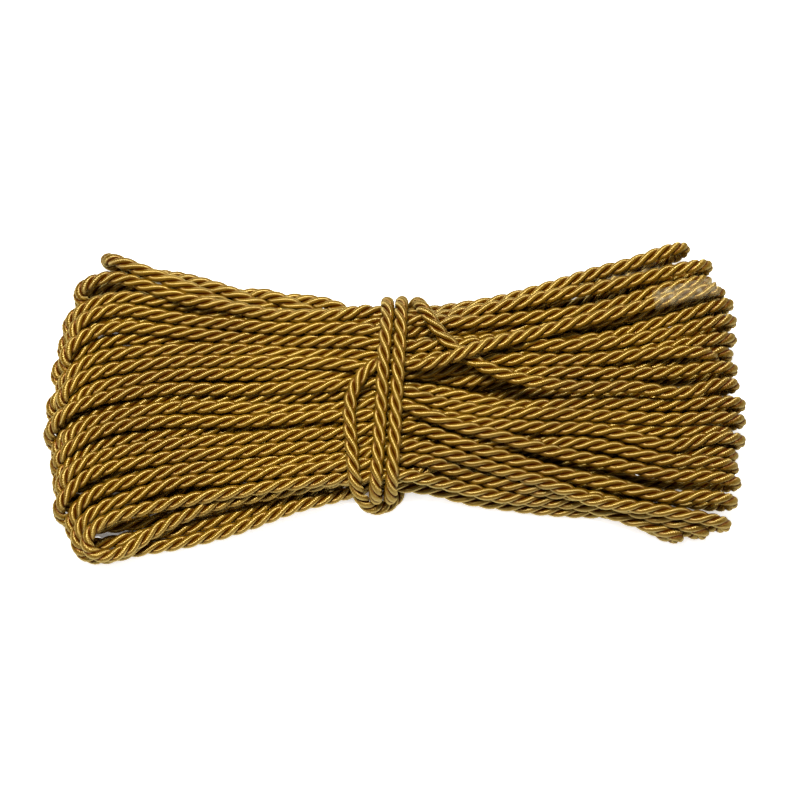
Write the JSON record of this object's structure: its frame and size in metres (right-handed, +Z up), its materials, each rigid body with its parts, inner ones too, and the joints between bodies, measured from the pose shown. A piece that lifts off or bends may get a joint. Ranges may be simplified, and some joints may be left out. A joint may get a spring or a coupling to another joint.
{
  "type": "cotton cord",
  "caption": "Hank of gold twisted cord, wound to and fro in flat turns and tied round its waist with its own taped end.",
  "frame": {"origin": "middle of the hank's footprint, on the surface that it lies on", "axes": "+X along the hank from its fanned end to its folded end, +Y across it towards its far edge in the picture, +Z up"},
  "size_m": [0.25, 0.118, 0.0294],
  "materials": {
    "satin_cord": "satin-faced twisted cord, antique gold",
    "clear_tape": "clear adhesive film, glossy"
  },
  "bodies": {
    "root": {"hank": "satin_cord", "running_lead": "satin_cord", "waist_turns": "satin_cord", "loose_end": "satin_cord", "end_tape": "clear_tape", "start_tape": "clear_tape"}
  },
  "joints": []
}
